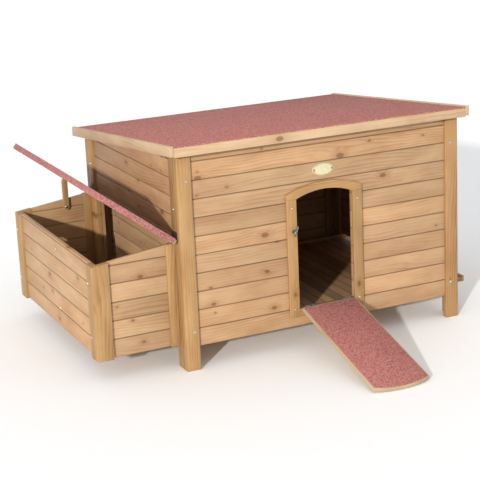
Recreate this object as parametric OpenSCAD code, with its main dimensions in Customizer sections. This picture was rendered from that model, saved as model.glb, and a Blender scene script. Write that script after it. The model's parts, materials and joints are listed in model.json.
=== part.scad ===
// Raised rabbit hutch: boarded house on four L-shaped legs, felted lean-to roof,
// arched doorway with a felted ramp, and a nest box with a propped-open felted lid.
// Origin: centre of the resting footprint, on the ground. +X right, +Y back, +Z up.

/* [House] */
// Width over the legs, left to right
house_w = 950; // [750:10:1200]
// Depth over the legs, front to back
house_d = 804; // [650:4:1000]
// Height of the roof surface at its front edge
roof_front_h = 687; // [620:1:820]
// Fall of the roof from its front edge to its back edge
roof_fall = 86; // [60:1:110]
// Ground clearance under the wall boards
wall_clear = 71; // [55:1:110]

/* [Timber] */
// Width of a stile face
stile_w = 44; // [36:1:60]
// Thickness of a stile
stile_t = 20; // [16:1:26]
// Visible face of one wall board
board_pitch = 56; // [44:1:66]
// Thickness of the wall boards
board_t = 12; // [9:0.5:14]
// Depth of the V-joint between boards
joint_v = 2.2; // [1:0.1:3]

/* [Roof] */
// Roof overhang past the left and right walls
roof_side_over = 27; // [20:1:45]
// Roof overhang past the front wall
roof_front_over = 26; // [18:1:40]
// Roof overhang past the back wall
roof_back_over = 44; // [25:1:60]
// Thickness of the roof deck
deck_t = 12; // [9:0.5:15]
// Thickness of the mineral felt
felt_t = 3; // [2:0.5:5]
// Height of the front fascia
fascia_h = 28; // [22:1:40]
// Height of the back fascia
back_fascia_h = 22; // [16:1:34]
// Thickness of the fascias
fascia_t = 12; // [9:0.5:16]

/* [Doorway] */
// Clear width of the doorway
door_w = 192; // [160:1:230]
// Height of the door jambs' tops above the ground
door_spring_h = 472; // [400:1:520]
// Rise of the arch over the doorway
door_rise = 20; // [10:1:40]
// Face width of a door jamb
jamb_w = 33; // [24:1:44]
// Height of the header's outer arch above the jamb tops, at its middle
header_h = 44; // [36:1:60]

/* [Ramp] */
// Straight length of the ramp, from its hinge end to where its arch starts
ramp_len = 445; // [380:1:520]
// Thickness of the ramp plywood
ramp_t = 10; // [8:0.5:14]
// Thickness of the ramp felt
ramp_felt_t = 2; // [1:0.5:4]
// Gap between the ramp and each jamb
ramp_gap = 3; // [2:0.5:6]
// Bare plywood left around the ramp felt
ramp_margin = 5; // [3:0.5:12]

/* [Nest box] */
// Reach of the nest box out from the left wall
nest_w = 260; // [220:1:320]
// Distance of the nest box front from the house front
nest_front = 45; // [30:1:80]
// Distance of the nest box back from the house back
nest_back = 4; // [2:1:40]
// Height of the nest box walls at the house
nest_in_h = 388; // [360:1:430]
// Height of the nest box walls at the outer end
nest_out_h = 355; // [320:1:380]
// Face width of the nest box posts
nest_post_w = 52; // [40:1:60]
// Width of the opening from the house into the nest box
pass_w = 150; // [120:1:180]

/* [Nest lid] */
// Length of the lid from its hinge end to its outer edge
lid_len = 295; // [280:1:330]
// Thickness of the lid board
lid_t = 14; // [10:0.5:18]
// Thickness of the lid felt
lid_felt_t = 2.5; // [1.5:0.5:4]
// Depth that the felt is turned down over the lid's edges
lid_skirt = 16; // [16:1:24]
// Angle of the open lid above the horizontal, resting on its prop
lid_open = 37.3; // [32:0.1:42]

/* [Droppings tray] */
// How far the tray stands drawn out of the right wall
tray_out = 75; // [0:1:80]
// Height of the tray sides
tray_h = 15; // [12:0.5:20]

/* [Hidden] */

$fn = 48;

// Colours
stile_tone = [0.82, 0.62, 0.38];
board_tone = [0.80, 0.62, 0.42];
inner_tone = [0.74, 0.55, 0.34];
ply_tone = [0.84, 0.70, 0.50];
felt_tone = [0.66, 0.38, 0.36];
zinc_tone = [0.72, 0.73, 0.74];
cream_tone = [0.88, 0.85, 0.72];

// Clearances between pieces that move past each other
run_gap = 0.05;   // a pin in its knuckle, on the radius
move_gap = 0.5;   // a moving piece beside a still one
seat_gap = 0.3;   // a piece that comes to rest on another

// Walls: board faces are set back from the stile faces
recess = stile_t - board_t;
leg_depth = stile_t + stile_w;       // depth of an L-shaped leg
wall_boards = ceil((roof_front_h - wall_clear) / board_pitch);
cleat_t = 12;                        // battens inside the corners
cleat_lap = 16;                      // how far they reach over the boards

// Roof: a plane that falls from front to back
roof_run = roof_front_over + house_d + roof_back_over;
roof_slope = roof_fall / roof_run;
roof_pitch = atan(roof_slope);
function roof_top(y) = roof_front_h - (y + roof_front_over) * roof_slope;
roof_stack = (deck_t + felt_t) / cos(roof_pitch);
function roof_under(y) = roof_top(y) - roof_stack;
felt_drop = felt_t / cos(roof_pitch);
side_fascia_up = 3;                  // the side fascias stand above the felt

// Doorway
door_x = house_w / 2;
door_low = wall_clear + board_pitch; // the lowest board is the threshold
jamb_low = door_low - 24;
door_r = (pow(door_w / 2, 2) + pow(door_rise, 2)) / (2 * door_rise);
header_half = door_w / 2 + jamb_w;
header_ends = 16;                    // height of the header's ends above the jambs
header_rise = header_h - header_ends;
header_r = (pow(header_half, 2) + pow(header_rise, 2)) / (2 * header_rise);
plaque_w = 72;
plaque_h = 37;
plaque_t = 3;
plaque_z = door_spring_h + header_h + 35;
plaque_pin_x = plaque_w / 2 - 6;
plaque_pin_r = 1.2;

// Butt hinges, shared by the ramp and the lid
leaf_t = 1.2;
knuckle_r = 2.8;
pin_r = 1.5;
hinge_len = 40;
leaf_reach = 22;
mid_knuckle = hinge_len / 6;         // half the length of the moving leaf's knuckle
leaf_in = pin_r + run_gap + 0.35;    // from the hinge axis to the still leaf's near side
hinge_off = leaf_in + leaf_t;        // from the hinge axis to the face the still leaf is on
hinge_nose = knuckle_r + seat_gap + leaf_t; // from the axis to the end of the hinged board

// Ramp: hinged in front of the threshold, its tip on the ground
ramp_y = -hinge_off;
ramp_z = door_low + 7;
ramp_half = door_w / 2 - ramp_gap;
ramp_r = door_r - ramp_gap;
ramp_arch = ramp_r - sqrt(pow(ramp_r, 2) - pow(ramp_half, 2));
ramp_tip = ramp_len + ramp_arch;
ramp_slope = asin(ramp_z / norm([ramp_tip, ramp_t])) - atan(ramp_t / ramp_tip);
ramp_hinge_x = [for (side = [-1, 1]) door_x + side * door_w * 0.33];

// Turn button on the left jamb
button_x = door_x - door_w / 2 - 13;
button_z = 374;
button_t = 2;
button_w = 8;
button_nose = 17;
button_tail = 8;
button_lean = 20;
button_y = ramp_y - ramp_t - 1;      // just clear of the raised ramp
button_screw_r = 2;

// Nest box
nest_y0 = nest_front;
nest_y1 = house_d - nest_back;
nest_low = wall_clear - 1;
nest_foot = nest_low - 3;
nest_slope = (nest_in_h - nest_out_h) / nest_w;
nest_pitch = atan(nest_slope);
nest_floor_z = nest_low + 10;
nest_floor_t = 9;
nest_wall_stile = 28;
nest_boards = ceil((nest_in_h - nest_low) / board_pitch);
nest_run = nest_w - nest_post_w - nest_wall_stile;
nest_side_w = nest_post_w - stile_t;
nest_mid_y = (nest_y0 + nest_y1) / 2 - 20;
pass_y1 = house_d - leg_depth;
pass_y0 = pass_y1 - pass_w;
pass_high = nest_in_h - 8;

// Lid: hinged on the left wall's stiles
lid_x = -hinge_off;
lid_z = nest_in_h + seat_gap + lid_t / cos(nest_pitch) + lid_x * nest_slope;
lid_y0 = 8;
lid_y1 = house_d;
lid_hinge_y = [stile_t + stile_w / 2, house_d - stile_t - stile_w / 2];

// Prop: a stick pivoted inside the nest box's back wall, its round tip under the open lid
prop_w = 18;
prop_t = 11;
prop_x = -91;
prop_z = nest_out_h - 2;
prop_y = nest_y1 - stile_t - 0.8;
prop_screw_r = 2.5;
prop_to_lid = (lid_x - prop_x) * sin(lid_open) + (lid_z - prop_z) * cos(lid_open) - lid_t;
prop_len = (prop_to_lid - prop_w / 2 - seat_gap) / cos(lid_open);

// Floor and tray
deck_floor_t = 8;
floor_z = wall_clear + 9;
floor_top = floor_z + deck_floor_t;
tray_gap = 2;
tray_y0 = leg_depth + tray_gap;
tray_y1 = house_d - leg_depth - tray_gap;
tray_z = floor_top + seat_gap;
tray_wall = 8;
tray_base_t = 5;
slot_low = floor_z + 6;
slot_high = tray_z + tray_h + 4;
tray_end_gap = 6;
tray_x0 = stile_t + tray_end_gap;
tray_x1 = house_w - stile_t + move_gap;
tray_front_t = board_t;
pull_w = 160;

// Fasteners
screw_r = 4;
screw_h = 1.6;
screw_in = 28;                       // from a leg's outer side
screw_low = wall_clear + 49;
screw_high = roof_front_h - 111;
jamb_screw_in = 26;

// The frame's origin is the centre of the footprint: nest box screws on the left, the tray's pull
// on the right, the ramp's tip at the front and the roof's edge at the back
pull_reach = 6;
x_low = -nest_w - screw_h;
x_high = tray_x1 + tray_front_t + pull_reach + tray_out;
y_low = ramp_y - ramp_tip * cos(ramp_slope);
y_high = house_d + roof_back_over;
origin_shift = [-(x_low + x_high) / 2, -(y_low + y_high) / 2, 0];

// ---------------------------------------------------------------- shared shapes

// Extrudes an outline drawn as (Y, Z) along +X
module along_x(len) rotate([90, 0, 90]) linear_extrude(len) children();

// Extrudes an outline drawn as (X, Z) along +Y
module along_y(len) translate([0, len, 0]) rotate([90, 0, 0]) linear_extrude(len) children();

module box(from, to) translate(from) cube(to - from);

// One board along +X with its face towards -Y and a V-joint on its long edges
module board(len, h, t = board_t) {
    along_x(len) polygon([[joint_v, 0], [t, 0], [t, h], [joint_v, h], [0, h - joint_v], [0, joint_v]]);
}

// Boards stacked upwards from z = 0
module boarding(len, count) {
    for (i = [0 : count - 1]) translate([0, 0, i * board_pitch]) board(len, board_pitch);
}

// Keeps what is under the roof deck
module under_roof() {
    far = house_d + roof_back_over;
    intersection() {
        children();
        translate([-nest_w, 0, 0]) along_x(house_w + 2 * nest_w)
            polygon([[-roof_front_over, -1], [far, -1], [far, roof_under(far)],
                     [-roof_front_over, roof_under(-roof_front_over)]]);
    }
}

// Keeps what is under the closed lid
module under_lid() {
    intersection() {
        children();
        along_y(house_d) polygon([[-nest_w - 1, 0], [1, 0], [1, nest_in_h + nest_slope],
                                  [-nest_w - 1, nest_out_h - nest_slope]]);
    }
}

// A strip that follows the roof, between two distances from the house front
module roof_strip(y0, y1, up, down, len) {
    along_x(len) polygon([[y0, roof_top(y0) + up], [y0, roof_top(y0) - down],
                          [y1, roof_top(y1) - down], [y1, roof_top(y1) + up]]);
}

// Doorway outline on the front wall, drawn as (X, Z)
module door_outline() {
    intersection() {
        translate([-door_w / 2, door_low]) square([door_w, door_spring_h + door_rise]);
        union() {
            translate([-door_w / 2, 0]) square([door_w, door_spring_h]);
            translate([0, door_spring_h + door_rise - door_r]) circle(door_r, $fn = 180);
        }
    }
}

// A screw head or dome standing on a face, its axis along +Z
module dome(r, h) {
    cylinder(h = h * 0.5, r = r);
    translate([0, 0, h * 0.5]) cylinder(h = h * 0.5, r1 = r, r2 = r * 0.7);
}
module towards_front() rotate([90, 0, 0]) children();
module towards_left() rotate([0, -90, 0]) children();
module towards_right() rotate([0, 90, 0]) children();
module towards_back() rotate([-90, 0, 0]) children();

// Hinges are drawn about the X axis, with the face they are on towards +Y.
// A knuckle from x0 to x1, with a running fit on the pin
module knuckle(x0, x1) {
    translate([x0, 0, 0]) rotate([0, 90, 0]) difference() {
        cylinder(h = x1 - x0, r = knuckle_r);
        translate([0, 0, -1]) cylinder(h = x1 - x0 + 2, r = pin_r + run_gap);
    }
}

// Still leaf: a plate on the face, and a knuckle at each end. The plate is cut away round the
// moving knuckle
module still_leaf() {
    away = knuckle_r + move_gap;
    ends = [[-hinge_len / 2, -mid_knuckle - seat_gap], [mid_knuckle + seat_gap, hinge_len / 2]];
    union() {
        for (e = ends) {
            knuckle(e[0], e[1]);
            box([e[0], leaf_in, -away], [e[1], leaf_in + leaf_t, 0]);
        }
        box([-hinge_len / 2, leaf_in, -leaf_reach], [hinge_len / 2, leaf_in + leaf_t, -away]);
    }
}

// Moving leaf: a plate on the end of a board of thickness t, and the middle knuckle
module moving_leaf(t) {
    plate_y = -hinge_nose;
    union() {
        knuckle(-mid_knuckle, mid_knuckle);
        box([-mid_knuckle, plate_y, -knuckle_r], [mid_knuckle, 0, -knuckle_r + 1]);
        box([-hinge_len / 2, plate_y, -t + 0.5], [hinge_len / 2, plate_y + leaf_t, 0]);
    }
}

module hinge_pin() {
    head_h = 0.8;
    rotate([0, 90, 0]) union() {
        cylinder(h = hinge_len + head_h, r = pin_r, center = true);
        for (end = [-1, 1]) translate([0, 0, end * (hinge_len + head_h) / 2])
            cylinder(h = head_h, r = pin_r + 0.8, center = true);
    }
}

// Places what is drawn about a hinge axis at the doorway's ramp, and at the nest box's lid
module at_ramp(turn = 0) translate([door_x, ramp_y, ramp_z]) rotate([turn, 0, 0]) children();
module at_lid(turn = 0)
    translate([lid_x, 0, lid_z]) rotate([0, 0, -90]) rotate([turn, 0, 0]) children();

// Places pieces drawn from the house's front left corner in the part's frame
module placed() translate(origin_shift) children();

// ---------------------------------------------------------------- house walls

module leg_stile(from, w, d) box([from[0], from[1], 0], [from[0] + w, from[1] + d, roof_front_h]);

module front_stiles() {
    color(stile_tone) placed() under_roof() union() {
        for (x = [0, house_w - stile_w]) leg_stile([x, 0], stile_w, stile_t);
    }
}

module back_stiles() {
    color(stile_tone) placed() under_roof() union() {
        for (x = [0, house_w - stile_w]) leg_stile([x, house_d - stile_t], stile_w, stile_t);
    }
}

module side_stiles(x) {
    color(stile_tone) placed() under_roof() union() {
        for (y = [stile_t, house_d - leg_depth]) leg_stile([x, y], stile_t, stile_w);
    }
}
module left_stiles() side_stiles(0);
module right_stiles() side_stiles(house_w - stile_t);

module front_boards() {
    color(board_tone) placed() under_roof() difference() {
        translate([stile_w, recess, wall_clear]) boarding(house_w - 2 * stile_w, wall_boards);
        translate([door_x, -1, 0]) along_y(stile_t + 2) door_outline();
    }
}

module back_boards() {
    color(board_tone) placed() under_roof() translate([house_w - stile_w, house_d - recess, wall_clear])
        rotate([0, 0, 180]) boarding(house_w - 2 * stile_w, wall_boards);
}

module left_boards() {
    color(board_tone) placed() under_roof() difference() {
        translate([recess, house_d - leg_depth, wall_clear]) rotate([0, 0, -90])
            boarding(house_d - 2 * leg_depth, wall_boards);
        pass_cut();
    }
}

// The lowest board is cut away for the tray's slot
module right_boards() {
    color(board_tone) placed() under_roof() difference() {
        translate([house_w - recess, leg_depth, wall_clear]) rotate([0, 0, 90])
            boarding(house_d - 2 * leg_depth, wall_boards);
        box([house_w - stile_t - 1, leg_depth - 1, 0], [house_w + 1, house_d - leg_depth + 1, slot_high]);
    }
}

// Opening from the house into the nest box
module pass_cut() box([0, pass_y0, door_low], [stile_t + cleat_t + 1, pass_y1 + 1, pass_high]);

// Battens that lap the boards onto the stiles in the inside corners, above the tray
module corner_cleats() {
    run = stile_w + cleat_lap - stile_t;
    color(inner_tone) placed() under_roof() union() {
        for (x = [stile_t, house_w - stile_w - cleat_lap], y = [stile_t, house_d - stile_t - cleat_t])
            box([x, y, slot_high], [x + run, y + cleat_t, roof_front_h]);
    }
}

module side_cleats() {
    run = stile_w + cleat_lap - cleat_t;
    color(inner_tone) placed() under_roof() difference() {
        for (x = [stile_t, house_w - stile_t - cleat_t])
            for (y = [stile_t + cleat_t, house_d - leg_depth - cleat_lap])
                box([x, y, slot_high], [x + cleat_t, y + run, roof_front_h]);
        pass_cut();
    }
}

// Batten down the near side of the opening into the nest box
module pass_jamb() {
    jamb = 24;
    color(inner_tone) placed()
        box([stile_t, pass_y0 - jamb, slot_high], [stile_t + cleat_t, pass_y0, pass_high + board_pitch]);
}

// ---------------------------------------------------------------- floor

module floor_bearers() {
    bearer_w = 40;
    color(inner_tone) placed() union() {
        for (x = [0.1, 0.5, 0.9] * house_w)
            box([x - bearer_w / 2, stile_t, wall_clear], [x + bearer_w / 2, house_d - stile_t, floor_z]);
    }
}

module floor_deck() {
    color(ply_tone) placed()
        box([stile_t, stile_t, floor_z], [house_w - stile_t, house_d - stile_t, floor_top]);
}

// Strip of boarding left under the tray's slot
module tray_sill() {
    color(board_tone) placed()
        box([house_w - stile_t, leg_depth, wall_clear], [house_w - recess, house_d - leg_depth, slot_low]);
}

// ---------------------------------------------------------------- roof

module roof_rafters() {
    rafter_w = 34;
    rafter_h = 22;
    color(inner_tone) placed() union() {
        for (x = [0.2, 0.5, 0.8] * house_w) translate([x - rafter_w / 2, 0, 0])
            roof_strip(stile_t, house_d - stile_t, -roof_stack, roof_stack + rafter_h, rafter_w);
    }
}

module roof_deck() {
    color(ply_tone) placed() translate([fascia_t - roof_side_over, 0, 0])
        roof_strip(fascia_t - roof_front_over, house_d + roof_back_over - fascia_t, -felt_drop, roof_stack,
                   house_w + 2 * (roof_side_over - fascia_t));
}

module roof_felt() {
    color(felt_tone) placed() translate([fascia_t - roof_side_over, 0, 0])
        roof_strip(-roof_front_over, house_d + roof_back_over, 0, felt_drop,
                   house_w + 2 * (roof_side_over - fascia_t));
}

module end_fascia(y0, h) {
    color(stile_tone) placed() translate([fascia_t - roof_side_over, 0, 0])
        roof_strip(y0, y0 + fascia_t, -felt_drop, felt_drop + h, house_w + 2 * (roof_side_over - fascia_t));
}
module front_fascia() end_fascia(-roof_front_over, fascia_h);
module back_fascia() end_fascia(house_d + roof_back_over - fascia_t, back_fascia_h);

module side_fascias() {
    color(stile_tone) placed() union() {
        for (x = [-roof_side_over, house_w + roof_side_over - fascia_t]) translate([x, 0, 0])
            roof_strip(-roof_front_over, house_d + roof_back_over, side_fascia_up, fascia_h, fascia_t);
    }
}

// ---------------------------------------------------------------- doorway

module door_jambs() {
    color(stile_tone) placed() union() {
        for (x = [-header_half, door_w / 2])
            box([door_x + x, 0, jamb_low], [door_x + x + jamb_w, recess, door_spring_h]);
    }
}

module door_header() {
    color(stile_tone) placed() translate([door_x, 0, 0]) along_y(recess) difference() {
        intersection() {
            translate([-header_half, door_spring_h]) square([2 * header_half, header_h]);
            translate([0, door_spring_h + header_h - header_r]) circle(header_r, $fn = 180);
        }
        translate([0, door_spring_h + door_rise - door_r]) circle(door_r, $fn = 180);
    }
}

module door_sill() {
    color(stile_tone) placed()
        box([door_x - door_w / 2, 0, jamb_low], [door_x + door_w / 2, recess, door_low]);
}

// Plain oval plaque on the boards over the doorway
module name_plaque() {
    color(cream_tone) placed() translate([door_x, recess - plaque_t, plaque_z]) along_y(plaque_t)
        difference() {
            scale([plaque_w / plaque_h, 1]) circle(plaque_h / 2);
            for (x = [-plaque_pin_x, plaque_pin_x]) translate([x, 0]) circle(plaque_pin_r + run_gap);
        }
}

module plaque_pins() {
    color(zinc_tone) placed() union() {
        for (x = [-plaque_pin_x, plaque_pin_x]) translate([door_x + x, recess, plaque_z]) towards_front() {
            cylinder(h = plaque_t, r = plaque_pin_r);
            translate([0, 0, plaque_t]) cylinder(h = 0.8, r = 2 * plaque_pin_r);
        }
    }
}

// ---------------------------------------------------------------- fasteners

module screw() dome(screw_r, screw_h);

module stile_screws() {
    side_y = [leg_depth - stile_w / 2, house_d - leg_depth + stile_w / 2];
    color(zinc_tone) placed() union() {
        for (x = [screw_in, house_w - screw_in]) {
            for (z = [screw_low, screw_high]) translate([x, 0, z]) towards_front() screw();
            for (z = [screw_low, screw_high - roof_fall]) translate([x, house_d, z]) towards_back() screw();
        }
        for (y = side_y, z = [screw_low, screw_high - roof_fall])
            translate([house_w, y, z]) towards_right() screw();
        for (y = side_y) translate([0, y, screw_high - roof_fall]) towards_left() screw();
    }
}

module jamb_screws() {
    color(zinc_tone) placed() union() {
        for (side = [-1, 1], z = [jamb_low + jamb_screw_in, door_spring_h - jamb_screw_in])
            translate([door_x + side * (door_w + jamb_w) / 2, 0, z]) towards_front()
                dome(0.7 * screw_r, screw_h);
    }
}

// ---------------------------------------------------------------- ramp

module ramp_outline(inset) {
    half = ramp_half - inset;
    intersection() {
        translate([-half, -ramp_tip]) square([2 * half, ramp_tip - hinge_nose - inset]);
        translate([0, ramp_r - ramp_tip]) circle(ramp_r - inset, $fn = 180);
    }
}

module ramp_hinge_plates() {
    color(zinc_tone) placed() at_ramp() union() {
        for (x = ramp_hinge_x) translate([x - door_x, 0, 0]) still_leaf();
    }
}

module ramp_hinge_pins() {
    color(zinc_tone) placed() at_ramp() union() {
        for (x = ramp_hinge_x) translate([x - door_x, 0, 0]) hinge_pin();
    }
}

module ramp_board() {
    color(ply_tone) placed() at_ramp(ramp_slope) translate([0, 0, -ramp_t])
        linear_extrude(ramp_t) ramp_outline(0);
}

module ramp_felt() {
    color(felt_tone) placed() at_ramp(ramp_slope) linear_extrude(ramp_felt_t) ramp_outline(ramp_margin);
}

module ramp_hinge_leaves() {
    color(zinc_tone) placed() at_ramp(ramp_slope) union() {
        for (x = ramp_hinge_x) translate([x - door_x, 0, 0]) moving_leaf(ramp_t);
    }
}

// ---------------------------------------------------------------- turn button

module at_button() translate([button_x, 0, button_z]) towards_front() children();

module button_spacer() {
    color(zinc_tone) placed() at_button() difference() {
        cylinder(h = -button_y - seat_gap, r = 5.5);
        translate([0, 0, -1]) cylinder(h = -button_y + 2, r = button_screw_r + run_gap);
    }
}

module button_screw() {
    head_z = -button_y + button_t + seat_gap;
    color(zinc_tone) placed() at_button() {
        cylinder(h = head_z, r = button_screw_r);
        translate([0, 0, head_z]) dome(4, 1.8);
    }
}

module door_button() {
    color(zinc_tone) placed() at_button() translate([0, 0, -button_y]) rotate([0, 0, -button_lean])
        linear_extrude(button_t) difference() {
            union() {
                translate([-button_w / 2, -button_tail]) square([button_w, button_nose + button_tail]);
                translate([0, button_nose]) circle(button_w / 2);
                translate([0, -button_tail]) circle(button_w / 2);
            }
            circle(button_screw_r + run_gap);
        }
}

// ---------------------------------------------------------------- nest box

module nest_stile(from, size, foot) {
    box([from[0], from[1], foot], [from[0] + size[0], from[1] + size[1], nest_in_h]);
}

module nest_posts() {
    color(stile_tone) placed() under_lid() union() {
        for (y = [nest_y0, nest_y1 - stile_t])
            nest_stile([-nest_w, y], [nest_post_w, stile_t], nest_foot);
    }
}

module nest_end_posts() {
    color(stile_tone) placed() under_lid() union() {
        for (y = [nest_y0 + stile_t, nest_y1 - stile_t - nest_side_w])
            nest_stile([-nest_w, y], [stile_t, nest_side_w], nest_foot);
    }
}

module nest_wall_stiles() {
    color(stile_tone) placed() under_lid() union() {
        for (y = [nest_y0, nest_y1 - stile_t])
            nest_stile([-nest_wall_stile, y], [nest_wall_stile, stile_t], nest_low);
    }
}

module nest_front_boards() {
    color(board_tone) placed() under_lid()
        translate([nest_post_w - nest_w, nest_y0 + recess, nest_low]) boarding(nest_run, nest_boards);
}

module nest_back_boards() {
    color(board_tone) placed() under_lid() translate([-nest_wall_stile, nest_y1 - recess, nest_low])
        rotate([0, 0, 180]) boarding(nest_run, nest_boards);
}

module nest_end_boards() {
    run = nest_y1 - nest_y0 - 2 * nest_post_w;
    color(board_tone) placed() under_lid() translate([recess - nest_w, nest_y1 - nest_post_w, nest_low])
        rotate([0, 0, -90]) boarding(run, nest_boards);
}

// Batten up the middle of the end wall, inside
module nest_end_cleat() {
    half = 20;
    deep = 22;
    top = nest_out_h - 3;
    color(inner_tone) placed() box([stile_t - nest_w, nest_mid_y - half, nest_floor_z + nest_floor_t],
                                   [stile_t - nest_w + deep, nest_mid_y + half, top]);
}

module nest_floor_cleats() {
    cleat_w = 20;
    color(inner_tone) placed() union() {
        box([stile_t - nest_w, nest_y0 + stile_t, nest_low],
            [stile_t - nest_w + cleat_w, nest_y1 - stile_t, nest_floor_z]);
        box([recess - cleat_w, leg_depth + 1, nest_low], [recess, house_d - leg_depth - 1, nest_floor_z]);
    }
}

module nest_floor() {
    color(ply_tone) placed() box([stile_t - nest_w, nest_y0 + stile_t, nest_floor_z],
                                 [0, nest_y1 - stile_t, nest_floor_z + nest_floor_t]);
}

module nest_screws() {
    low = nest_low + 62;
    high = nest_out_h - 57;
    color(zinc_tone) placed() union() {
        for (y = [nest_y0 + nest_post_w - 9, nest_y1 - 13], z = [low, high])
            translate([-nest_w, y, z]) towards_left() screw();
        for (z = [low, nest_out_h - 31])
            translate([recess - nest_w, nest_mid_y, z]) towards_left() screw();
    }
}

// ---------------------------------------------------------------- nest lid

module lid_hinge_plates() {
    color(zinc_tone) placed() at_lid() union() {
        for (y = lid_hinge_y) translate([-y, 0, 0]) mirror([0, 0, 1]) still_leaf();
    }
}

module lid_hinge_pins() {
    color(zinc_tone) placed() at_lid() union() {
        for (y = lid_hinge_y) translate([-y, 0, 0]) hinge_pin();
    }
}

module lid_board() {
    skin = lid_felt_t;
    color(ply_tone) placed() at_lid(-lid_open)
        box([-lid_y1 + skin, -lid_len + skin, -lid_t], [-lid_y0 - skin, -hinge_nose, 0]);
}

// Felt over the lid, turned down round its three free edges
module lid_felt() {
    skin = lid_felt_t;
    color(felt_tone) placed() at_lid(-lid_open) difference() {
        box([-lid_y1, -lid_len, -lid_skirt], [-lid_y0, -hinge_nose - 8, skin]);
        box([-lid_y1 + skin, -lid_len + skin, -lid_skirt - 1], [-lid_y0 - skin, 0, 0]);
    }
}

module lid_hinge_leaves() {
    color(zinc_tone) placed() at_lid(-lid_open) union() {
        for (y = lid_hinge_y) translate([-y, 0, 0]) moving_leaf(lid_t);
    }
}

// ---------------------------------------------------------------- lid prop

module at_prop() translate([prop_x, prop_y, prop_z]) towards_front() children();

module lid_prop() {
    color(stile_tone) placed() at_prop() linear_extrude(prop_t) difference() {
        union() {
            circle(prop_w / 2);
            translate([-prop_w / 2, 0]) square([prop_w, prop_len]);
            translate([0, prop_len]) circle(prop_w / 2);
        }
        circle(prop_screw_r + run_gap);
    }
}

module prop_screw() {
    shank_z = prop_y - (nest_y1 - stile_t);
    color(zinc_tone) placed() at_prop() {
        translate([0, 0, shank_z]) cylinder(h = prop_t + seat_gap - shank_z, r = prop_screw_r);
        translate([0, 0, prop_t + seat_gap]) dome(5, 2);
    }
}

// ---------------------------------------------------------------- droppings tray

module drawn() translate([tray_out, 0, 0]) children();

module tray_base() {
    color(ply_tone) placed() drawn()
        box([tray_x0, tray_y0, tray_z], [tray_x1, tray_y1, tray_z + tray_base_t]);
}

module tray_sides() {
    low = tray_z + tray_base_t;
    high = tray_z + tray_h;
    color(inner_tone) placed() drawn() union() {
        box([tray_x0, tray_y0, low], [tray_x0 + tray_wall, tray_y1, high]);
        for (y = [tray_y0, tray_y1 - tray_wall])
            box([tray_x0 + tray_wall, y, low], [tray_x1, y + tray_wall, high]);
    }
}

module tray_front() {
    color(stile_tone) placed() drawn()
        box([tray_x1, tray_y0, slot_low + 1], [tray_x1 + tray_front_t, tray_y1, slot_high - 1]);
}

module tray_pull() {
    mid = (slot_low + slot_high) / 2;
    face = tray_x1 + tray_front_t;
    color(stile_tone) placed() drawn()
        box([face, (house_d - pull_w) / 2, mid - 4], [face + pull_reach, (house_d + pull_w) / 2, mid + 4]);
}

front_stiles();
back_stiles();
left_stiles();
right_stiles();
front_boards();
back_boards();
left_boards();
right_boards();
corner_cleats();
side_cleats();
pass_jamb();
floor_bearers();
floor_deck();
tray_sill();
roof_rafters();
roof_deck();
roof_felt();
front_fascia();
back_fascia();
side_fascias();
door_jambs();
door_header();
door_sill();
name_plaque();
plaque_pins();
stile_screws();
jamb_screws();
ramp_hinge_plates();
ramp_hinge_pins();
ramp_board();
ramp_felt();
ramp_hinge_leaves();
button_spacer();
button_screw();
door_button();
nest_posts();
nest_end_posts();
nest_wall_stiles();
nest_end_boards();
nest_front_boards();
nest_back_boards();
nest_end_cleat();
nest_floor_cleats();
nest_floor();
nest_screws();
lid_hinge_plates();
lid_hinge_pins();
lid_board();
lid_felt();
lid_hinge_leaves();
lid_prop();
prop_screw();
tray_base();
tray_sides();
tray_front();
tray_pull();
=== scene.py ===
"""Raised rabbit hutch: eased timber, honey-stained softwood, mineral felt and zinc fittings.

Every length is in metres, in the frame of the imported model. The timber, the boards and the felts are
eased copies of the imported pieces. The screw heads and the plaque are worked out on grids.
"""
import json
import logging
import math
from dataclasses import dataclass
from enum import Enum

import bmesh
import bpy
import numpy as np
from mathutils import Euler, Matrix, Vector


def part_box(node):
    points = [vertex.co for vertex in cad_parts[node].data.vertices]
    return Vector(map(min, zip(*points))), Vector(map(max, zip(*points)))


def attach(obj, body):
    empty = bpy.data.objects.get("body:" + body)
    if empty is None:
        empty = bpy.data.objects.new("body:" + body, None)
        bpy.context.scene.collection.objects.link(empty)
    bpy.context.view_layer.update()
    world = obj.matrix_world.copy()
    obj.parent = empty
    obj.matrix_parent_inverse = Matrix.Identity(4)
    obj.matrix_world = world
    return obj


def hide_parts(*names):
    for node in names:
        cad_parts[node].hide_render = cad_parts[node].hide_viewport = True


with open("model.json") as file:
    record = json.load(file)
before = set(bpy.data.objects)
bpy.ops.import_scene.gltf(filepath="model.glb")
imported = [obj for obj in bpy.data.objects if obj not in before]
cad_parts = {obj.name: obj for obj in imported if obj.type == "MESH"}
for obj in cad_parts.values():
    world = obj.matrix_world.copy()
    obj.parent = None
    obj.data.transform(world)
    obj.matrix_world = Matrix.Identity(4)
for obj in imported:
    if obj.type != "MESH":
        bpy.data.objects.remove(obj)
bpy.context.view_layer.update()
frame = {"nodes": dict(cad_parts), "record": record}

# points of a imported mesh, or of a grid, that lie closer than this become one
CAD_MERGE = 2e-6
GRID_MERGE = 1e-6
LOG = logging.getLogger("hutch")

Triple = tuple[float, float, float]


def linear(red: int, green: int, blue: int) -> Triple:
    """Linear light from screen values of 0 to 255: each is (value / 255) raised to the power 2.2."""
    return tuple((channel / 255) ** 2.2 for channel in (red, green, blue))


# ---------------------------------------------------------------- shader expressions


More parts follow.
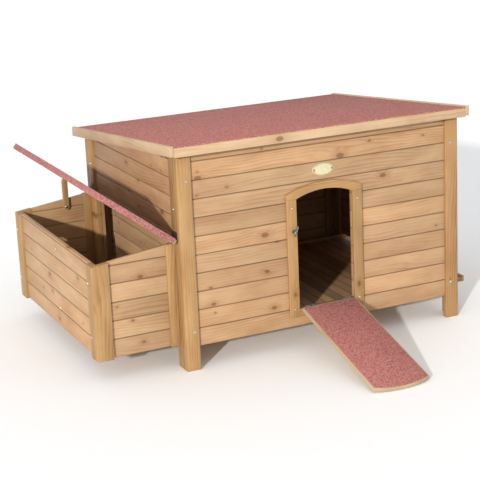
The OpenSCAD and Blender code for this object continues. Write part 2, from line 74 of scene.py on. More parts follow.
class Number:
    """A number socket in a material. Arithmetic on it adds Math nodes."""

    def __init__(self, graph: "Graph", socket: bpy.types.NodeSocket) -> None:
        """Wraps a socket of a graph."""
        self.graph = graph
        self.socket = socket

    def __add__(self, other: "Number | float") -> "Number":
        """Sum."""
        return self.graph.math("ADD", self, other)

    def __sub__(self, other: "Number | float") -> "Number":
        """Difference."""
        return self.graph.math("SUBTRACT", self, other)

    def __rsub__(self, other: float) -> "Number":
        """Difference from a plain number."""
        return self.graph.math("SUBTRACT", other, self)

    def __mul__(self, other: "Number | float") -> "Number":
        """Product."""
        return self.graph.math("MULTIPLY", self, other)

    def __truediv__(self, other: "Number | float") -> "Number":
        """Quotient."""
        return self.graph.math("DIVIDE", self, other)

    def __pow__(self, other: float) -> "Number":
        """Power."""
        return self.graph.math("POWER", self, other)

    __radd__ = __add__
    __rmul__ = __mul__

    def floor(self) -> "Number":
        """The whole number below."""
        return self.graph.math("FLOOR", self)

    def fraction(self) -> "Number":
        """What is left above the whole number below."""
        return self.graph.math("FRACT", self)

    def absolute(self) -> "Number":
        """The size without its sign."""
        return self.graph.math("ABSOLUTE", self)

    def ramp(self, start: float, end: float) -> "Number":
        """A smooth step from 0 at one place to 1 at another.

        Args:
            start: where it is 0.
            end: where it is 1, above or below start.

        Returns:
            The step, held at 0 and 1 beyond its ends.
        """
        node = self.graph.node(
            "MapRange", {"interpolation_type": "SMOOTHSTEP"},
            {"Value": self, "From Min": min(start, end), "From Max": max(start, end),
             "To Min": float(start > end), "To Max": float(start <= end)})
        return Number(self.graph, node.outputs["Result"])


class Graph:
    """A new material and the nodes in it."""

    def __init__(self, name: str) -> None:
        """Starts a material with one Principled shader.

        Args:
            name: the material's name.
        """
        self.material = bpy.data.materials.new(name)
        self.material.use_nodes = True
        self.tree = self.material.node_tree
        self.tree.nodes.clear()
        self.shader = self.node("BsdfPrincipled")
        output = self.node("OutputMaterial")
        self.tree.links.new(self.shader.outputs["BSDF"], output.inputs["Surface"])

    def node(self, kind: str, settings: dict | None = None, inputs: dict | None = None) -> bpy.types.Node:
        """Makes a node, sets its settings first, and then fills its sockets.

        Args:
            kind: the node's type without its "ShaderNode" prefix.
            settings: attribute values; "stops" is a colour ramp's list of (place, colour).
            inputs: socket name or index to a plain value, a Number or a socket.

        Returns:
            The node.
        """
        made = self.tree.nodes.new("ShaderNode" + kind)
        for name, value in (settings or {}).items():
            if name == "stops":
                ramp = made.color_ramp
                while len(ramp.elements) < len(value):
                    ramp.elements.new(1.0)
                for element, (place, colour) in zip(ramp.elements, value):
                    element.position = place
                    element.color = (*colour, 1.0)
            else:
                setattr(made, name, value)
        for name, value in (inputs or {}).items():
            self.plug(value, made.inputs[name])
        return made

    def plug(self, value: object, socket: bpy.types.NodeSocket) -> None:
        """Links or sets one socket.

        Args:
            value: a Number, an output socket, a number, or a colour or vector of three numbers.
            socket: the input that takes it.
        """
        if isinstance(value, Number):
            value = value.socket
        if isinstance(value, bpy.types.NodeSocket):
            self.tree.links.new(value, socket)
        elif socket.type == "RGBA":
            socket.default_value = (*value, 1.0)
        else:
            socket.default_value = value

    def math(self, operation: str, *values: "Number | float") -> Number:
        """Adds one Math node and returns its result."""
        made = self.node("Math", {"operation": operation}, dict(enumerate(values)))
        return Number(self, made.outputs[0])

    def vector(self, *parts: "Number | float") -> bpy.types.NodeSocket:
        """Joins three numbers into a vector or a colour."""
        return self.node("CombineXYZ", None, dict(enumerate(parts))).outputs[0]

    def split(self, socket: bpy.types.NodeSocket) -> tuple[Number, Number, Number]:
        """Parts a vector or a colour into its three numbers."""
        made = self.node("SeparateXYZ", None, {0: socket})
        return tuple(Number(self, out) for out in made.outputs[:3])

    def noise(self, place: bpy.types.NodeSocket, scale: float, detail: float, rough: float) -> Number:
        """Fractal noise about 0.5 at a place."""
        inputs = {"Vector": place, "Scale": scale, "Detail": detail, "Roughness": rough}
        return Number(self, self.node("TexNoise", None, inputs).outputs[0])

    def cells(self, place: bpy.types.NodeSocket, scale: float, space: str = "3D") -> tuple[Number, ...]:
        """Random cells.

        Args:
            place: where they are looked up.
            scale: how many there are in a metre.
            space: "2D" or "3D".

        Returns:
            The distance to the nearest cell's centre, in cells, and two random numbers of that cell.
        """
        made = self.node("TexVoronoi", {"voronoi_dimensions": space}, {"Vector": place, "Scale": scale})
        first, second, _ = self.split(made.outputs["Color"])
        return Number(self, made.outputs["Distance"]), first, second

    def mix(self, share: "Number | float", first: object, second: object,
            blend: str = "MIX") -> bpy.types.NodeSocket:
        """Blends two colours: share 0 gives the first, and 1 the second."""
        made = self.node("Mix", {"data_type": "RGBA", "blend_type": blend}, {0: share, 6: first, 7: second})
        return made.outputs[2]

    def shaded(self, colour: bpy.types.NodeSocket, shade: Number) -> bpy.types.NodeSocket:
        """Multiplies a colour by a number."""
        return self.mix(1.0, colour, self.vector(shade, shade, shade), "MULTIPLY")

    def place(self, turn: Triple = (0.0, 0.0, 0.0)) -> bpy.types.NodeSocket:
        """Object coordinates.

        Args:
            turn: Euler angles that they are turned by, in radians.

        Returns:
            The coordinates' socket.
        """
        coordinates = self.node("TexCoord").outputs["Object"]
        if not any(turn):
            return coordinates
        return self.node("Mapping", None, {"Vector": coordinates, "Rotation": turn}).outputs[0]

    def bump(self, height: Number, strength: float, distance: float) -> bpy.types.NodeSocket:
        """A normal from a height of 0 to 1, where 1 stands a distance in metres above 0."""
        inputs = {"Strength": strength, "Distance": distance, "Height": height}
        return self.node("Bump", None, inputs).outputs[0]

    def dress(self, sockets: dict[str, object]) -> bpy.types.Material:
        """Fills the Principled shader's sockets.

        Args:
            sockets: each socket's name, and what plug takes for it.

        Returns:
            The material.
        """
        for name, value in sockets.items():
            self.plug(value, self.shader.inputs[name])
        return self.material


# ---------------------------------------------------------------- finishes


class Grain(Enum):
    """Which way the grain runs. The value orders the axes as along, across and through."""

    ALONG_X = (0, 2, 1)
    ALONG_Y = (1, 2, 0)
    ALONG_Z = (2, 0, 1)
    FLAT_Y = (1, 0, 2)


class Tones(Enum):
    """The pale and the dark tone of each kind of timber."""

    STILE = (linear(178, 145, 101), linear(130, 90, 50))
    FASCIA = (linear(200, 176, 144), linear(154, 122, 90))
    BOARD = (linear(190, 158, 122), linear(134, 94, 60))
    TRAY = (linear(184, 150, 118), linear(120, 88, 62))
    PLY = (linear(186, 158, 124), linear(140, 108, 76))
    RAMP = (linear(206, 182, 150), linear(160, 132, 100))
    INNER = (linear(176, 138, 100), linear(116, 80, 50))


class Pieces(Enum):
    """How one surface is parted into pieces of timber that each get their own tone."""

    ROWS = "boards stacked upwards"
    PLANKS = "planks laid side by side along X"
    POSTS = "posts far apart from each other"
    ONE = "one piece"


# the axis that rows and planks are counted along, the width of the cells that tell posts apart, and how
# many cells for a knot there are in a metre
STACKED = {Pieces.ROWS: 2, Pieces.PLANKS: 0}
POST_CELL = 0.25
KNOTS_PER_METRE = 15.0


@dataclass(frozen=True)
class Wood:
    """Stained softwood: growth rings, fine grain, knots and a tone for each board.

    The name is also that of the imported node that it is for. start and pitch place the rows of boards
    or planks, the shares say how strong the rings are and how many cells hold a knot, variety is how
    far the boards' tones differ, turn brings a sloping board level, and layers is the thickness of a
    plywood layer, or 0.
    """

    name: str
    tones: Tones
    grain: Grain
    seed: float
    pieces: Pieces = Pieces.ONE
    start: float = 0.071
    pitch: float = 0.056
    ring_share: float = 0.34
    knot_share: float = 0.20
    variety: float = 0.20
    turn: Triple = (0.0, 0.0, 0.0)
    layers: float = 0.0
    knot: Triple = linear(104, 68, 40)
    ruddy: Triple = (1.04, 0.90, 0.80)
    roughness: float = 0.46

    def rows(self, xyz: tuple[Number, ...]) -> Number:
        """How many boards or planks lie before a point."""
        return (xyz[STACKED[self.pieces]] - self.start) / self.pitch

    def draws(self, graph: Graph, xyz: tuple[Number, ...]) -> tuple[Number, Number, Number]:
        """Three random numbers for each piece of timber.

        Args:
            graph: the material's graph.
            xyz: the three coordinates.

        Returns:
            Numbers from 0 to 1, hashed from the seed and the board's row or the post's cell.
        """
        if self.pieces in STACKED:
            key = graph.vector(self.rows(xyz).floor(), self.seed, 0.5)
        elif self.pieces is Pieces.POSTS:
            key = graph.vector((xyz[0] / POST_CELL).floor(), (xyz[1] / POST_CELL).floor(), self.seed)
        else:
            key = graph.vector(self.seed, self.seed + 0.5, 0.5)
        hashed = graph.node("TexWhiteNoise", {"noise_dimensions": "3D"}, {"Vector": key})
        return graph.split(hashed.outputs["Color"])

    def knots(self, graph: Graph, place: bpy.types.NodeSocket) -> tuple[Number, Number]:
        """Masks of the knots and of the bent grain round them.

        Args:
            graph: the material's graph.
            place: where they are looked up, along the grain and across it.

        Returns:
            Each is 1 inside and fades with the distance from the knot, measured in its own radius of
            2.6 to 11 mm. Small knots are the commonest, since the radius goes with a random cube.
        """
        gap, draw, size = graph.cells(place, KNOTS_PER_METRE, "2D")
        present = draw.ramp(1 - self.knot_share, 1 - self.knot_share + 0.02)
        reach = gap / KNOTS_PER_METRE / (size ** 3.0 * 0.0085 + 0.0026)
        return present * reach.ramp(1.2, 0.6), present * reach.ramp(3.6, 0.8)

    def rings(self, graph: Graph, along: Number, across: Number, through: Number, halo: Number) -> Number:
        """The dark late wood of the growth rings.

        Args:
            graph: the material's graph.
            along: the coordinate along the grain.
            across: the coordinate across it.
            through: the coordinate through the board.
            halo: the mask of the grain round knots, which pushes the rings aside.

        Returns:
            The square of a saw wave of the distance across the board, bent by slow noise, cut off
            smoothly at each ring's end, and faded in places.
        """
        slow = graph.noise(graph.vector(along * 1.9, across * 8, through * 8), 1.0, 2.0, 0.45)
        wave = graph.noise(graph.vector(along * 9, across * 40, through * 40), 1.0, 2.0, 0.5)
        band = (across * 95 + through * 60 + slow * 9 + wave * 0.6 + halo * 1.3).fraction()
        fade = graph.noise(graph.vector(along * 3, across * 18, through * 18), 1.0, 2.0, 0.5).ramp(0.38, 0.66)
        return band ** 2.0 * (1 - band.ramp(0.90, 1.0)) * (fade * 0.8 + 0.2)

    def shade(self, xyz: tuple[Number, ...], tone: Number) -> Number:
        """How bright each board is, with its joints darkened by dirt and painted groove shadow, or the layers
        of its edge.

        Args:
            xyz: the three coordinates.
            tone: the board's random number.

        Returns:
            A factor near 1. It falls to half at a joint between boards, over 3.4 mm: dirt and painted shadow
            in the groove.
        """
        shade = tone * self.variety + (1 - self.variety * 0.5)
        if self.pieces in STACKED:
            # painted shadow, with dirt, in the groove between boards: darker within 3.4 mm of each joint
            joint = (0.5 - (self.rows(xyz).fraction() - 0.5).absolute()) * self.pitch
            shade = shade * (joint.ramp(0.0002, 0.0034) * 0.5 + 0.5)
        if self.layers:
            ply = (xyz[self.grain.value[2]] / self.layers).fraction().ramp(0.42, 0.58)
            shade = shade * (ply * 0.24 + 0.76)
        return shade

    def material(self) -> bpy.types.Material:
        """Builds the material.

        Returns:
            Rings, knots, fine streaks along the grain and blotches, in the tone of each board.
        """
        graph = Graph(self.name)
        pale, dark = self.tones.value
        xyz = graph.split(graph.place(self.turn))
        tone, shift, hue = self.draws(graph, xyz)
        along, across, through = (xyz[axis] for axis in self.grain.value)
        along = along + shift * 7.3
        across = across + hue * 1.7
        through = through + tone * 0.9
        core, halo = self.knots(graph, graph.vector(along * 0.7 + tone, across * 1.15 + hue, 0.0))
        late = self.rings(graph, along, across, through, halo)
        fine = graph.noise(graph.vector(along * 12, across * 700, through * 700), 1.0, 3.0, 0.6)
        blotch = graph.noise(graph.vector(along * 6, across * 16, through * 16), 1.0, 3.0, 0.6)

        depth = late * self.ring_share + (fine - 0.5) * 0.35 + (blotch - 0.5) * 0.8 + 0.25
        colour = graph.mix(depth.ramp(-0.20, 1.0), pale, dark)
        colour = graph.mix(1.0, colour, graph.mix(hue * 0.45, (1.0, 1.0, 1.0), self.ruddy), "MULTIPLY")
        colour = graph.mix(halo * 0.35, colour, dark)
        colour = graph.mix(core * 0.68, colour, self.knot)
        return graph.dress({
            "Base Color": graph.shaded(colour, self.shade(xyz, tone)),
            "Roughness": self.roughness + fine * 0.16 - late * 0.05,
            "Normal": graph.bump(fine * 0.5 + late * 0.35 - core * 0.3, 0.35, 0.0006),
            "Specular IOR Level": 0.35})


@dataclass(frozen=True)
class Felt:
    """Red mineral felt: crushed stone granules on bitumen.

    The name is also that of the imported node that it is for, and granule is how many there are in a
    metre.
    """

    name: str
    body: Triple
    bright: Triple
    granule: float
    deep: Triple = linear(112, 58, 54)
    scuffed: Triple = linear(206, 176, 168)

    def material(self) -> bpy.types.Material:
        """Builds the material.

        Returns:
            A colour for each granule, then clumps of them a few millimetres wide, pale scuffs, and
            clouds several centimetres wide.
        """
        graph = Graph(self.name)
        place = graph.place()
        gap, draw, second = graph.cells(place, self.granule)
        clump = graph.noise(place, 190.0, 3.0, 0.65)
        cloud = graph.noise(place, 14.0, 3.0, 0.5)
        stops = [(0.0, self.deep), (0.35, self.body), (0.75, self.body), (1.0, self.bright)]
        stone = graph.node("ValToRGB", {"stops": stops}, {0: draw}).outputs[0]
        colour = graph.mix(clump.ramp(0.36, 0.66) * 0.55, stone, self.bright)
        colour = graph.mix(clump.ramp(0.52, 0.30) * 0.50, colour, self.deep)
        scuff = graph.noise(place, 22.0, 4.0, 0.6).ramp(0.66, 0.76) * clump.ramp(0.3, 0.6)
        colour = graph.mix(scuff * 0.5, colour, self.scuffed)
        return graph.dress({
            "Base Color": graph.shaded(colour, cloud * 0.22 + 0.90),
            "Roughness": 0.86 + draw * 0.12,
            "Normal": graph.bump((1 - gap) * (second * 0.6 + 0.4), 0.7, 0.0008),
            "Specular IOR Level": 0.25})


@dataclass(frozen=True)
class Zinc:
    """Zinc plate with faint spangle and handling marks."""

    name: str
    tone: Triple
    dull: Triple

    def material(self) -> bpy.types.Material:
        """Builds the material.

        Returns:
            Spangles a few millimetres wide, and a rougher and darker metal where it has dulled.
        """
        graph = Graph(self.name)
        place = graph.place()
        _, draw, _ = graph.cells(place, 400.0)
        wear = graph.noise(place, 160.0, 4.0, 0.6)
        return graph.dress({
            "Base Color": graph.mix(wear.ramp(0.40, 0.62) * 0.8 + draw * 0.2, self.tone, self.dull),
            "Metallic": 0.9,
            "Roughness": wear * 0.25 + 0.24,
            "Normal": graph.bump(wear, 0.15, 0.0002)})


@dataclass(frozen=True)
class Enamel:
    """Plain cream enamel on a small oval plate, with a darker line round it."""

    name: str
    centre: Triple
    half_x: float
    half_z: float
    tone: Triple = linear(204, 196, 160)
    tint: Triple = linear(174, 164, 124)
    line: Triple = linear(120, 104, 62)

    def material(self) -> bpy.types.Material:
        """Builds the material: faint clouding, a glossy coat, and the line.

        Returns:
            The line lies where the root of (x / half width) squared + (z / half height) squared is 0.9.
        """
        graph = Graph(self.name)
        place = graph.place()
        cloud = graph.noise(place, 90.0, 3.0, 0.5)
        x, _, z = graph.split(place)
        out = ((x - self.centre[0]) / self.half_x) ** 2.0 + ((z - self.centre[2]) / self.half_z) ** 2.0
        colour = graph.mix(cloud.ramp(0.35, 0.75) * 0.5, self.tone, self.tint)
        return graph.dress({
            "Base Color": graph.mix((out ** 0.5 - 0.90).absolute().ramp(0.05, 0.01) * 0.8, colour, self.line),
            "Roughness": cloud * 0.15 + 0.22,
            "Coat Weight": 0.3,
            "Normal": graph.bump(cloud, 0.1, 0.0002)})


# ---------------------------------------------------------------- meshes and pieces


def body_of(node: str) -> str:
    """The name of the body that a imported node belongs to."""
    return next(body for body, nodes in frame["record"]["behaviour"]["bodies"].items() if node in nodes)


def stand_in(name: str, mesh: bpy.types.Mesh, material: bpy.types.Material, node: str) -> None:
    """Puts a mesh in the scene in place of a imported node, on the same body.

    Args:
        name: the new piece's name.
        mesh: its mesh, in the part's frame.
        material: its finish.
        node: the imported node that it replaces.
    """
    mesh.materials.clear()
    mesh.materials.append(material)
    piece = bpy.data.objects.new(name, mesh)
    bpy.context.scene.collection.objects.link(piece)
    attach(piece, body_of(node))
    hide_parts(node)
    LOG.info("%s: %d faces on %s", name, len(mesh.polygons), body_of(node))


def merged(node: str) -> bmesh.types.BMesh:
    """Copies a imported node's mesh, and merges its doubled vertices.

    Args:
        node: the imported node.

    Returns:
        The copy. Whoever asks for it frees it.
    """
    work = bmesh.new()
    work.from_mesh(frame["nodes"][node].data)
    bmesh.ops.remove_doubles(work, verts=work.verts, dist=CAD_MERGE)
    return work


def finished(name: str, work: bmesh.types.BMesh, sharp: float) -> bpy.types.Mesh:
    """Turns a bmesh into a mesh, and frees it.

    Args:
        name: the mesh's name.
        work: the bmesh.
        sharp: edges that turn by more than this many degrees stay sharp.

    Returns:
        The smoothly shaded mesh.
    """
    mesh = bpy.data.meshes.new(name)
    work.to_mesh(mesh)
    work.free()
    mesh.shade_smooth()
    mesh.set_sharp_from_angle(angle=math.radians(sharp))
    return mesh


def grid_mesh(name: str, points: np.ndarray, closed: bool) -> bpy.types.Mesh:
    """Makes one mesh of many equal grids.

    Args:
        name: the mesh's name.
        points: copies, rows, columns and three coordinates.
        closed: whether each row's last point joins its first.

    Returns:
        A mesh whose faces join each point to the next in its row and in the next row.
    """
    copies, rows, columns, _ = points.shape
    index = np.arange(copies * rows * columns).reshape(copies, rows, columns)
    after = np.roll(index, -1, axis=2) if closed else index[:, :, 1:]
    here = index if closed else index[:, :, :-1]
    faces = np.stack([here[:, :-1], after[:, :-1], after[:, 1:], here[:, 1:]], axis=-1).reshape(-1, 4)
    rough = bpy.data.meshes.new(name)
    rough.from_pydata(points.reshape(-1, 3).tolist(), [], faces.tolist())
    work = bmesh.new()
    work.from_mesh(rough)
    bpy.data.meshes.remove(rough)
    bmesh.ops.remove_doubles(work, verts=work.verts, dist=GRID_MERGE)
    bmesh.ops.recalc_face_normals(work, faces=work.faces)
    return finished(name, work, 38)


def polar(shares: np.ndarray, spokes: int) -> tuple[np.ndarray, np.ndarray, np.ndarray]:
    """The two parameters of a polar grid: the distance from the middle and the angle.

    Args:
        shares: each ring's distance from the middle, as a share of the edge's.
        spokes: how many points a ring has.

    Returns:
        The shares as a column, and the cosines and the sines of the angles as rows.
    """
    angle = np.linspace(0.0, 2 * math.pi, spokes, endpoint=False)[None, :]
    return shares[:, None], np.cos(angle), np.sin(angle)


def ease_edges(finish: Wood | Felt, ease: float) -> None:
    """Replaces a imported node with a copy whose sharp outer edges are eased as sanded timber's are.

    Args:
        finish: the finish, which has the node's name.
        ease: how far the edges are cut back.
    """
    work = merged(finish.name)
    bmesh.ops.dissolve_limit(work, angle_limit=math.radians(0.8), verts=work.verts, edges=work.edges)
    sharp = [edge for edge in work.edges
             if edge.is_manifold and edge.is_convex and edge.calc_face_angle(0.0) > math.radians(30)]
    bmesh.ops.bevel(work, geom=sharp, offset=ease, segments=2, profile=0.5, affect="EDGES",
                    clamp_overlap=True)
    bmesh.ops.triangulate(work, faces=[face for face in work.faces if len(face.verts) > 4])
    name = finish.name + "_eased"
    stand_in(name, finished(name, work, 33), finish.material(), finish.name)


# ---------------------------------------------------------------- sub-assemblies


@dataclass
class House:
    """The boarded house, its legs, floor, roof and tray.

    Each ease says how far edges are cut back, and tray_plank is how wide the tray's planks look.
    """

    stile_ease: float = 0.0014
    frame_ease: float = 0.001
    board_ease: float = 0.0007
    sheet_ease: float = 0.0006
    felt_ease: float = 0.0012
    tray_plank: float = 0.036

    def stile(self, node: str, grain: Grain, pieces: Pieces, seed: float) -> Wood:
        """The warmer wood of the frame."""
        return Wood(node, Tones.STILE, grain, seed, pieces, knot_share=0.08, ring_share=0.5)

    def fascia(self, node: str, grain: Grain, seed: float) -> Wood:
        """The paler wood of the roof's edge."""
        return Wood(node, Tones.FASCIA, grain, seed, knot_share=0.06)

    def build_frame(self) -> None:
        """Dresses the legs, the fascias and the frame of the doorway."""
        for seed, node in enumerate(("front_stiles", "back_stiles", "left_stiles", "right_stiles")):
            ease_edges(self.stile(node, Grain.ALONG_Z, Pieces.POSTS, seed + 1.3), self.stile_ease)
        for seed, node in enumerate(("front_fascia", "back_fascia")):
            ease_edges(self.fascia(node, Grain.ALONG_X, seed + 7.1), self.stile_ease)
        ease_edges(self.fascia("side_fascias", Grain.ALONG_Y, 9.4), self.stile_ease)
        ease_edges(self.stile("door_jambs", Grain.ALONG_Z, Pieces.POSTS, 11.2), self.frame_ease)
        ease_edges(self.stile("door_header", Grain.ALONG_X, Pieces.ONE, 12.6), self.frame_ease)
        ease_edges(self.stile("door_sill", Grain.ALONG_X, Pieces.ONE, 13.9), self.frame_ease)

    def build_walls(self) -> None:
        """Dresses the four boarded walls and the strip under the tray's slot."""
        for node, grain, seed in (
                ("front_boards", Grain.ALONG_X, 21.3), ("back_boards", Grain.ALONG_X, 22.8),
                ("left_boards", Grain.ALONG_Y, 23.1), ("right_boards", Grain.ALONG_Y, 24.7),
                ("tray_sill", Grain.ALONG_Y, 25.2)):
            ease_edges(Wood(node, Tones.BOARD, grain, seed, Pieces.ROWS), self.board_ease)

    def build_inside(self) -> None:
        """Dresses the battens, the floor and the roof's deck and rafters."""
        for node, grain, seed in (
                ("corner_cleats", Grain.ALONG_Z, 31.0), ("side_cleats", Grain.ALONG_Z, 32.0),
                ("pass_jamb", Grain.ALONG_Z, 33.0), ("floor_bearers", Grain.ALONG_Y, 34.0),
                ("roof_rafters", Grain.ALONG_Y, 35.0)):
            ease_edges(Wood(node, Tones.INNER, grain, seed, Pieces.POSTS), self.stile_ease)
        for node, seed in (("floor_deck", 36.0), ("roof_deck", 37.0)):
            ease_edges(Wood(node, Tones.PLY, Grain.FLAT_Y, seed, knot_share=0.02, ring_share=0.2),
                       self.sheet_ease)

    def build_roof(self) -> None:
        """Dresses the roof's felt."""
        ease_edges(Felt("roof_felt", linear(165, 96, 89), linear(206, 146, 136), 620.0), self.felt_ease)

    def build_tray(self) -> None:
        """Dresses the tray, whose base has lines like narrow planks."""
        ease_edges(Wood("tray_base", Tones.TRAY, Grain.FLAT_Y, 41.0, Pieces.PLANKS, start=0.0,
                        pitch=self.tray_plank, variety=0.5, knot_share=0.05), self.sheet_ease)
        ease_edges(Wood("tray_sides", Tones.INNER, Grain.ALONG_X, 42.0, Pieces.POSTS), self.frame_ease)
        ease_edges(self.stile("tray_front", Grain.ALONG_Y, Pieces.ONE, 43.0), self.stile_ease)
        ease_edges(self.stile("tray_pull", Grain.ALONG_Y, Pieces.ONE, 44.0), self.stile_ease)


@dataclass
class NestBox:
    """The nest box on the left wall, its lid and the stick that holds it open."""

    floor_z: float = 0.070
    lid_turn: float = math.radians(37.3)
    lid_layer: float = 0.0047
    post_ease: float = 0.0014
    board_ease: float = 0.0007
    sheet_ease: float = 0.0006
    felt_ease: float = 0.0011
    prop_ease: float = 0.001

    def build_box(self) -> None:
        """Dresses the box's posts, walls and floor."""
        for seed, node in enumerate(("nest_posts", "nest_end_posts", "nest_wall_stiles")):
            ease_edges(Wood(node, Tones.STILE, Grain.ALONG_Z, 51.0 + seed, Pieces.POSTS, knot_share=0.05,
                            ring_share=0.5), self.post_ease)
        for node, grain, seed in (
                ("nest_end_boards", Grain.ALONG_Y, 61.0), ("nest_front_boards", Grain.ALONG_X, 62.0),
                ("nest_back_boards", Grain.ALONG_X, 63.0)):
            ease_edges(Wood(node, Tones.BOARD, grain, seed, Pieces.ROWS, start=self.floor_z), self.board_ease)
        for node, grain, seed in (
                ("nest_end_cleat", Grain.ALONG_Z, 64.0), ("nest_floor_cleats", Grain.ALONG_Y, 65.0)):
            ease_edges(Wood(node, Tones.INNER, grain, seed), self.post_ease)
        ease_edges(Wood("nest_floor", Tones.PLY, Grain.FLAT_Y, 66.0, knot_share=0.02, ring_share=0.2),
                   self.sheet_ease)

    def build_lid(self) -> None:
        """Dresses the lid, whose plywood edge shows its layers, and its prop."""
        ease_edges(Wood("lid_board", Tones.PLY, Grain.FLAT_Y, 67.0, knot_share=0.08, ring_share=0.2,
                        turn=(0.0, -self.lid_turn, 0.0), layers=self.lid_layer), self.sheet_ease)
        ease_edges(Felt("lid_felt", linear(160, 98, 96), linear(188, 136, 132), 900.0), self.felt_ease)
        ease_edges(Wood("lid_prop", Tones.STILE, Grain.ALONG_Z, 68.0, knot_share=0.0), self.prop_ease)


@dataclass
class Ramp:
    """The felted ramp in front of the doorway."""

    slope: float = math.radians(15.55)
    layer: float = 0.0034
    ease: float = 0.0007

    def build(self) -> None:
        """Dresses the ramp's plywood and its felt."""
        ease_edges(Wood("ramp_board", Tones.RAMP, Grain.FLAT_Y, 71.0, knot_share=0.05, ring_share=0.2,
                        turn=(-self.slope, 0.0, 0.0), layers=self.layer), self.ease)
        ease_edges(Felt("ramp_felt", linear(162, 96, 92), linear(196, 138, 130), 760.0), self.ease)


@dataclass
class Fittings:
    """Screw heads, hinges, the turn button and the plaque.

    Each head is turned by head_twist radians more than the one before it.
    """

    zinc: Zinc = Zinc("zinc", linear(214, 216, 218), linear(150, 152, 154))
    dull_zinc: Zinc = Zinc("dull_zinc", linear(150, 148, 142), linear(92, 90, 86))
    large_radius: float = 0.0040
    small_radius: float = 0.0028
    head_height: float = 0.0016
    slot_half: float = 0.0006
    head_twist: float = 0.7
    head_rings: int = 11
    head_spokes: int = 32
    plaque_rise: float = 0.0020
    plaque_crown: float = 0.0004
    plaque_rim: float = 0.0006
    plaque_rings: int = 40
    plaque_spokes: int = 96

    def head(self, radius: float) -> np.ndarray:
        """A closed pan head with a cross recess, standing on the plane z = 0.

        The height at a distance r is the head's height times the root of 1 - (r / R)^4, less the
        recess, whose depth fades with the distance from the nearer of two crossed lines and with r.

        Args:
            radius: the head's radius R.

        Returns:
            Rows, columns and three coordinates. The last row closes the foot.
        """
        share, cosine, sine = polar(np.append(np.linspace(0.0, 1.0, self.head_rings), 0.0), self.head_spokes)
        x, y = radius * share * cosine, radius * share * sine
        line = np.minimum(np.abs(x), np.abs(y))
        reach = np.clip(1 - (np.hypot(x, y) / (0.68 * radius)) ** 4, 0.0, 1.0)
        z = self.head_height * np.sqrt(np.clip(1 - share ** 4, 0.0, 1.0)) + 0 * cosine
        z = z - 0.7 * self.head_height * np.clip(1.6 - line / self.slot_half, 0.0, 1.0) * reach
        z[-1] = 0.0
        return np.stack([x, y, z], axis=-1)

    def seats(self, node: str) -> list[tuple[Triple, Triple]]:
        """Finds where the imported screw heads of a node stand.

        Vertices get the lowest number among those that they are joined to, until nothing changes, so
        each head has a number of its own. A head is thinnest along its axis and widest at its foot.

        Args:
            node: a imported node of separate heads.

        Returns:
            For each head the middle of its foot and the way it faces.
        """
        work = merged(node)
        work.verts.index_update()
        points = np.array([vert.co for vert in work.verts])
        start, end = np.array([[vert.index for vert in edge.verts] for edge in work.edges]).T
        work.free()
        label, before = np.arange(len(points)), None
        while before is None or (label != before).any():
            before = label.copy()
            np.minimum.at(label, start, before[end])
            np.minimum.at(label, end, before[start])
        places = []
        for group in (points[label == number] for number in np.unique(label)):
            low, high = group.min(0), group.max(0)
            axis = int(np.argmin(high - low))
            below, above = (np.ptp(group[np.isclose(group[:, axis], face[axis], atol=1e-5)], axis=0).max()
                            for face in (low, high))
            foot, normal = (low + high) / 2, np.zeros(3)
            foot[axis] = low[axis] if below > above else high[axis]
            normal[axis] = 1.0 if below > above else -1.0
            places.append((tuple(foot), tuple(normal)))
        return sorted(places)

    def build_screws(self) -> None:
        """Makes the cross-headed screws in the legs, the door frame and the nest box."""
        metal = self.zinc.material()
        for node, radius in (("stile_screws", self.large_radius), ("jamb_screws", self.small_radius),
                             ("nest_screws", self.large_radius)):
            shape = self.head(radius)
            turned = []
            for index, (foot, normal) in enumerate(self.seats(node)):
                twist = Matrix.Rotation(self.head_twist * index, 3, "Z")
                axes = np.array(Vector(normal).to_track_quat("Z", "Y").to_matrix() @ twist)
                turned.append(shape @ axes.T + np.array(foot))
            name = node + "_crossed"
            stand_in(name, grid_mesh(name, np.array(turned), closed=True), metal, node)

    def build_plaque(self) -> None:
        """Makes the plain oval plaque: a shallow crown inside a raised rim.

        With s running from 0 in the middle to 1 at the edge, the height is 2 mm, plus 0.4 mm times
        1 - s squared for the crown, plus a rim of 0.6 mm that is a bell curve about s = 0.9. The last
        two rings close the side and the back.
        """
        node = "name_plaque"
        low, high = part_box(node)
        middle = (low + high) / 2
        half_x, half_z = (high.x - low.x) / 2, (high.z - low.z) / 2
        share, cosine, sine = polar(np.append(np.linspace(0.0, 1.0, self.plaque_rings), (1.0, 0.0)),
                                    self.plaque_spokes)
        rim = np.exp(-((share - 0.9) / 0.05) ** 2)
        rise = self.plaque_rise + self.plaque_crown * (1 - share ** 2) + self.plaque_rim * rim
        rise[-2:] = 0.0
        points = np.stack([middle.x + half_x * share * cosine, high.y - rise + 0 * cosine,
                           middle.z + half_z * share * sine], axis=-1)
        name = "plaque_enamel"
        enamel = Enamel("cream_enamel", tuple(middle), half_x, half_z)
        stand_in(name, grid_mesh(name, points[None], closed=True), enamel.material(), node)

    def dress_hinges(self) -> None:
        """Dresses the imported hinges, their pins, the turn button and the screws that hold them."""
        metal = self.dull_zinc.material()
        for node in ("ramp_hinge_plates", "ramp_hinge_pins", "ramp_hinge_leaves", "lid_hinge_plates",
                     "lid_hinge_pins", "lid_hinge_leaves", "button_spacer", "button_screw", "door_button",
                     "prop_screw", "plaque_pins"):
            materials = frame["nodes"][node].data.materials
            materials.clear()
            materials.append(metal)
            LOG.info("%s: dressed", node)


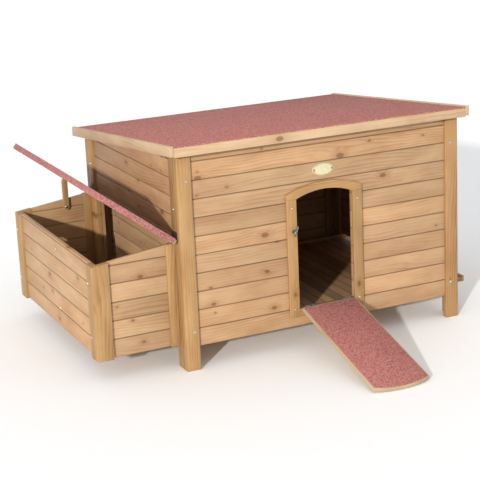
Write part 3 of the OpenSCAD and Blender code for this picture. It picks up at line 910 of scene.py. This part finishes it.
@dataclass
class Studio:
    """The pale floor, the soft light and the camera. Angles are in degrees."""

    floor_half: float = 30.0
    eye: Triple = (-1.8765, -3.9118, 1.5421)
    look: Triple = (74.953, 2.296, -26.051)
    lens: float = 107.913
    shift: float = -0.05
    sun_way: Triple = (0.67, 0.69, -0.29)
    sun_width: float = 2.0
    sun_power: float = 3.0
    sun_tint: Triple = (1.0, 0.97, 0.92)
    sky_power: float = 0.82
    sky_tint: Triple = (0.97, 0.985, 1.0)

    def build_floor(self) -> None:
        """Makes the pale floor."""
        side = np.array([-self.floor_half, self.floor_half])
        points = np.stack([*np.meshgrid(side, side), np.zeros((2, 2))], axis=-1)
        floor = bpy.data.objects.new("studio_floor", grid_mesh("studio_floor", points[None], closed=False))
        bpy.context.scene.collection.objects.link(floor)
        graph = Graph("pale_floor")
        speck = graph.noise(graph.place(), 3.0, 2.0, 0.5)
        floor.data.materials.append(graph.dress({
            "Base Color": graph.mix(speck * 0.1, (0.97, 0.97, 0.97), (0.93, 0.93, 0.93)), "Roughness": 0.9}))

    def build_light(self) -> None:
        """Makes the pale sky and the low sun from the front left."""
        world = bpy.data.worlds.new("soft_sky")
        world.use_nodes = True
        sky = world.node_tree.nodes["Background"].inputs
        sky["Color"].default_value = (*self.sky_tint, 1.0)
        sky["Strength"].default_value = self.sky_power
        bpy.context.scene.world = world
        sun = bpy.data.objects.new("sun", bpy.data.lights.new("sun", "SUN"))
        sun.data.energy = self.sun_power
        sun.data.angle = math.radians(self.sun_width)
        sun.data.color = self.sun_tint
        sun.rotation_euler = Vector(self.sun_way).to_track_quat("-Z", "Y").to_euler()
        bpy.context.scene.collection.objects.link(sun)

    def build_camera(self) -> None:
        """Makes the camera."""
        camera = bpy.data.objects.new("camera", bpy.data.cameras.new("camera"))
        camera.data.lens = self.lens
        camera.data.shift_x = camera.data.shift_y = self.shift
        camera.location = self.eye
        camera.rotation_euler = Euler([math.radians(angle) for angle in self.look])
        bpy.context.scene.collection.objects.link(camera)
        bpy.context.scene.camera = camera
        bpy.context.scene.view_settings.view_transform = "Standard"


def main() -> None:
    """Builds the studio and every sub-assembly."""
    logging.basicConfig(level=logging.INFO, format="%(name)s %(message)s")
    studio = Studio()
    studio.build_floor()
    studio.build_light()
    studio.build_camera()
    house = House()
    house.build_frame()
    house.build_walls()
    house.build_inside()
    house.build_roof()
    house.build_tray()
    nest = NestBox()
    nest.build_box()
    nest.build_lid()
    Ramp().build()
    fittings = Fittings()
    fittings.build_screws()
    fittings.build_plaque()
    fittings.dress_hinges()


if __name__ == "__main__":
    main()
